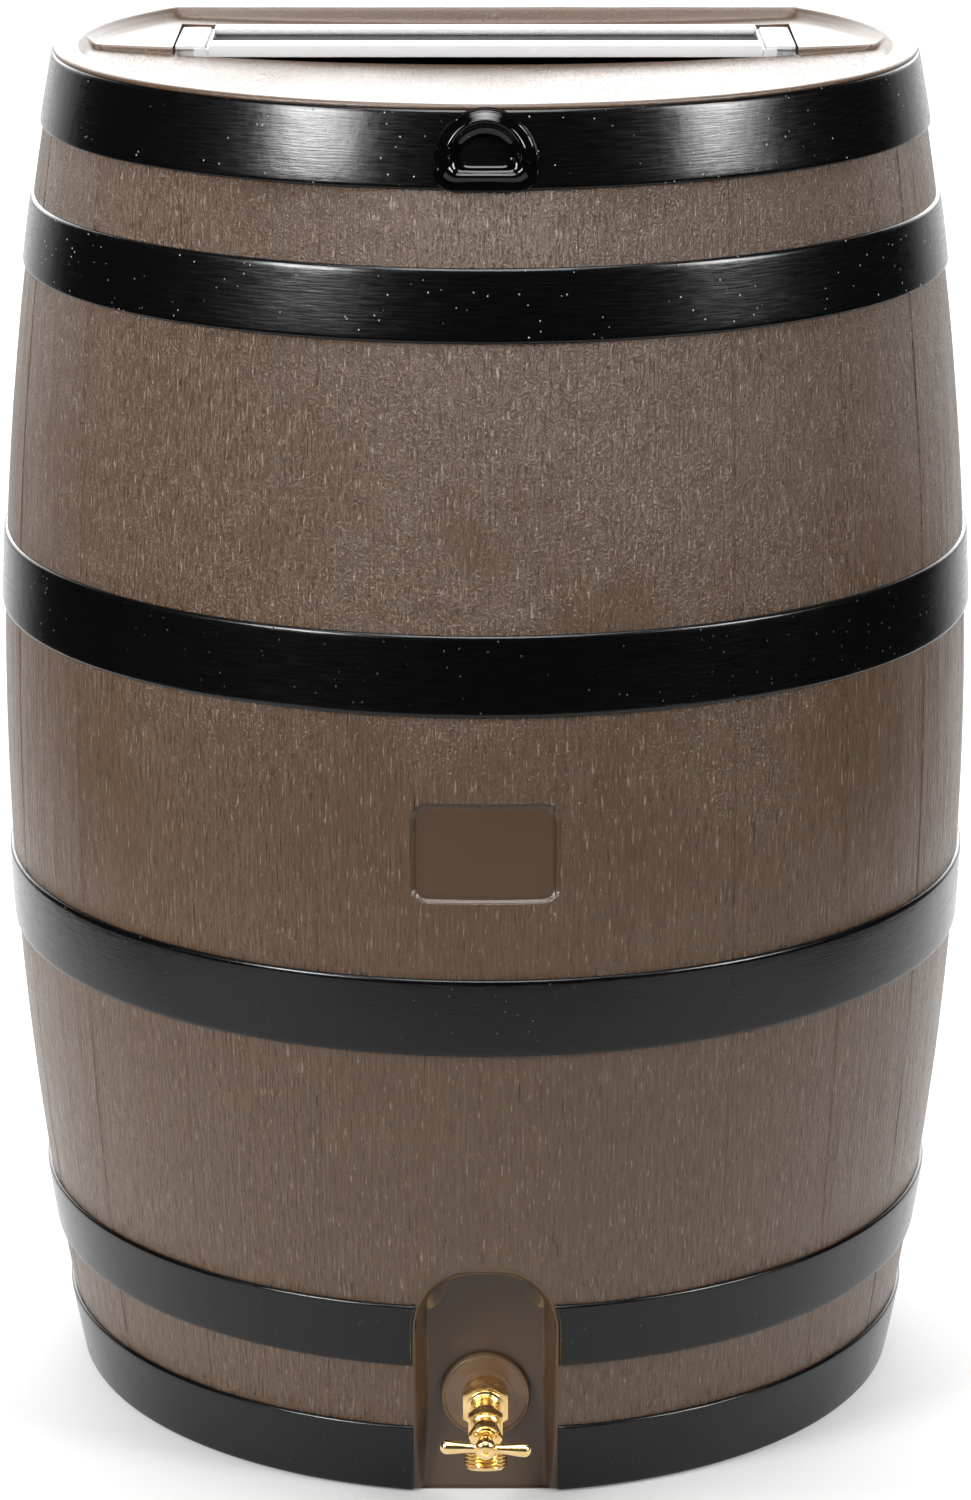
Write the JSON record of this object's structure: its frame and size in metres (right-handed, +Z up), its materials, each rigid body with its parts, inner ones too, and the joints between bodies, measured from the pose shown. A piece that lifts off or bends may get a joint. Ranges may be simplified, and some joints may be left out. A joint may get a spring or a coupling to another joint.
{
  "type": "rain barrel",
  "caption": "Flat-backed rain barrel with moulded woodgrain staves, raised black hoops, a lift-off mosquito screen and a brass hose tap in a front alcove.",
  "frame": {"origin": "on the underside of the base, below the centre of the barrel's round section", "axes": "+Z up, along the barrel's height; +Y towards the flat back, so the tap faces -Y; +X to the right of someone facing the tap"},
  "size_m": [0.61, 0.4992, 0.851],
  "materials": {
    "wood_brown": "satin, moulded with woodgrain",
    "fitting_brown": "smooth",
    "hoop_black": "gloss",
    "screen_rail": "satin white",
    "screen_cap": "smooth",
    "mesh": "fine woven glass-fibre",
    "seal": "matte",
    "brass": "polished"
  },
  "bodies": {
    "barrel": {"barrel_shell": "wood_brown", "barrel_deck": "wood_brown", "barrel_alcove": "wood_brown", "hoop_rim": "hoop_black", "hoop_upper": "hoop_black", "hoop_above_belly": "hoop_black", "hoop_below_belly": "hoop_black", "hoop_lower": "hoop_black", "hoop_base": "hoop_black", "overflow_boss": "hoop_black", "tap_fitting": "fitting_brown", "tap_body": "brass", "tap_bonnet": "brass", "stem_packing": "seal", "packing_nut": "brass"},
    "screen": {"screen_rail_front": "screen_rail", "screen_rail_back": "screen_rail", "screen_cap_left": "screen_cap", "screen_cap_right": "screen_cap", "screen_mesh": "mesh", "screen_spline": "seal"},
    "valve_disc": {"seat_washer": "seal"},
    "handle": {"valve_stem": "brass", "washer_screw": "brass", "tee_handle": "brass", "handle_screw": "brass"}
  },
  "joints": [
    {"name": "screen_lift", "type": "slide", "parent": "barrel", "child": "screen", "axis": [0, 0, 1], "range_m": [0, 0.12]},
    {"name": "stem_rise", "type": "slide", "parent": "barrel", "child": "valve_disc", "axis": [0, -1, 0], "range_m": [0, 0.004]},
    {"name": "handle_turn", "type": "hinge", "parent": "valve_disc", "child": "handle", "pos_m": [0, -0.333, 0.0625], "axis": [0, -1, 0], "range_deg": [0, 720]}
  ],
  "couplings": [
    {"joint": "stem_rise", "follows": "handle_turn", "m_per_rad": 0.0003183}
  ]
}
